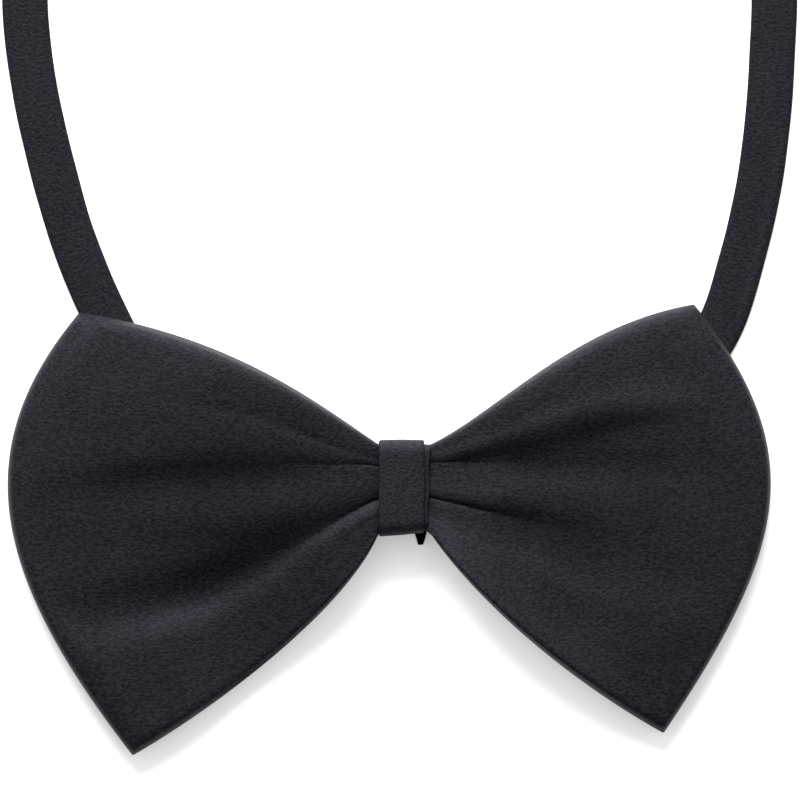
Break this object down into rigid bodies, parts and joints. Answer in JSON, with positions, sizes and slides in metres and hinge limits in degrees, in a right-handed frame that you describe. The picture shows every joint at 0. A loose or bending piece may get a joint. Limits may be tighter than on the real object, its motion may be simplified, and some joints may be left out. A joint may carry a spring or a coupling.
{
  "type": "bow tie",
  "caption": "Black satin pre-tied bow tie with a wrapped knot, pleated wings and an adjustable neck strap with a hook, ring and slide.",
  "frame": {"origin": "on the flat back of the knot, under the middle of the knot", "axes": "+X across the bow, +Y up the bow towards the neck, +Z out of the bow's front"},
  "size_m": [0.1357, 0.1794, 0.0112],
  "materials": {
    "satin": "soft satin sheen",
    "strap_cloth": "satin pressed flat",
    "lining": "woven",
    "thread": "spun",
    "nickel": "nickel-plated steel wire and sheet"
  },
  "bodies": {
    "neckband": {"pleat_core": "satin", "gather_thread": "thread", "knot_wrap": "satin", "knot_underwrap": "satin", "knot_wrap_tail": "satin", "knot_stitches": "thread", "strap_left": "strap_cloth", "strap_right": "strap_cloth", "ring_fold": "strap_cloth", "ring_stitches": "thread", "hook_fold": "strap_cloth", "strap_tail": "strap_cloth"},
    "left_wing": {"left_front_panel": "satin", "left_interlining": "lining", "left_back_panel": "satin"},
    "right_wing": {"right_front_panel": "satin", "right_interlining": "lining", "right_back_panel": "satin"},
    "ring": {"ring": "nickel"},
    "hook": {"hook": "nickel"},
    "slide": {"slide": "nickel", "slide_fold": "strap_cloth", "slide_stitches": "thread"}
  },
  "joints": [
    {"name": "left_wing_flex", "type": "hinge", "parent": "neckband", "child": "left_wing", "pos_m": [-0.0041, 0, 0.009], "axis": [0, 1, 0], "range_deg": [0, 25], "stiffness_Nm_per_rad": 0.002},
    {"name": "right_wing_flex", "type": "hinge", "parent": "neckband", "child": "right_wing", "pos_m": [0.005, 0, 0.009], "axis": [0, -1, 0], "range_deg": [0, 25], "stiffness_Nm_per_rad": 0.002},
    {"name": "ring_swing", "type": "hinge", "parent": "neckband", "child": "ring", "pos_m": [-0.027, 0.128, 0.0016], "axis": [0, 1, 0], "range_deg": [-4, 4]},
    {"name": "hook_lift", "type": "hinge", "parent": "neckband", "child": "hook", "pos_m": [-0.009, 0.128, 0.0025], "axis": [0, 1, 0], "range_deg": [0, 80]},
    {"name": "slide_travel", "type": "slide", "parent": "neckband", "child": "slide", "axis": [1, 0, 0], "range_m": [-0.008, 0.01], "deforming": ["strap_tail"]}
  ]
}
